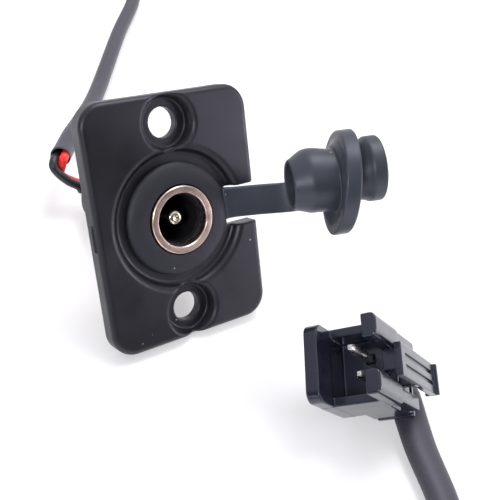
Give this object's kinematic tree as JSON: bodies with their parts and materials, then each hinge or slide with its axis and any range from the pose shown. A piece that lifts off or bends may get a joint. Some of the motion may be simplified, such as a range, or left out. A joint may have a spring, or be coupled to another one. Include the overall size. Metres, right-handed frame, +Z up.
{
  "type": "charge port inlet",
  "caption": "Panel charge port inlet: rubber-booted DC jack in a screw-on flange, with a tethered dust cap and a short sleeved lead to a latching plug.",
  "frame": {"origin": "on the surface it lies on, under the middle of the inlet (flange, jack, boot, strap and cap), the lead and its plug left out", "axes": "+Z up from the surface, +Y horizontal from the open face towards the jack's rear, +X to the side that the cap's strap leaves by"},
  "size_m": [0.0751, 0.1516, 0.0334],
  "materials": {
    "black_plastic": "satin moulded",
    "boot_rubber": "fine matt grain",
    "cap_rubber": "satin",
    "nickel": "turned and plated",
    "insulator": "matt",
    "pale_brass": "plated",
    "tin": "tinned",
    "red_insulation": "satin",
    "black_insulation": "satin",
    "sleeve_rubber": "satin",
    "plug_plastic": "semi-gloss moulded"
  },
  "bodies": {
    "inlet": {"flange_plate": "black_plastic", "rubber_boot": "boot_rubber", "cap_strap": "cap_rubber", "jack_shell": "nickel", "jack_body": "insulator", "centre_pin": "pale_brass", "sleeve_spring": "tin", "switch_tag": "tin", "pin_tag": "tin", "lock_washer": "nickel", "jack_nut": "nickel", "wire_red": "red_insulation", "wire_black": "black_insulation", "cable_sleeve": "sleeve_rubber", "connector_housing": "plug_plastic", "terminal_red": "tin", "terminal_black": "tin"},
    "cap": {"dust_cap": "cap_rubber"},
    "lever": {"connector_lever": "plug_plastic"}
  },
  "joints": [
    {"name": "cap_swing", "type": "hinge", "parent": "inlet", "child": "cap", "pos_m": [0.01562, -0.00262, 0.01805], "axis": [-0.1369, 0.6673, 0.7321], "range_deg": [-52, 45], "stiffness_Nm_per_rad": 0.002, "deforming": ["cap_strap"]},
    {"name": "latch_rock", "type": "hinge", "parent": "inlet", "child": "lever", "pos_m": [0.0124, -0.02942, 0.0084], "axis": [0.4263, 0.8094, 0.4039], "range_deg": [0, 6], "stiffness_Nm_per_rad": 0.02}
  ]
}
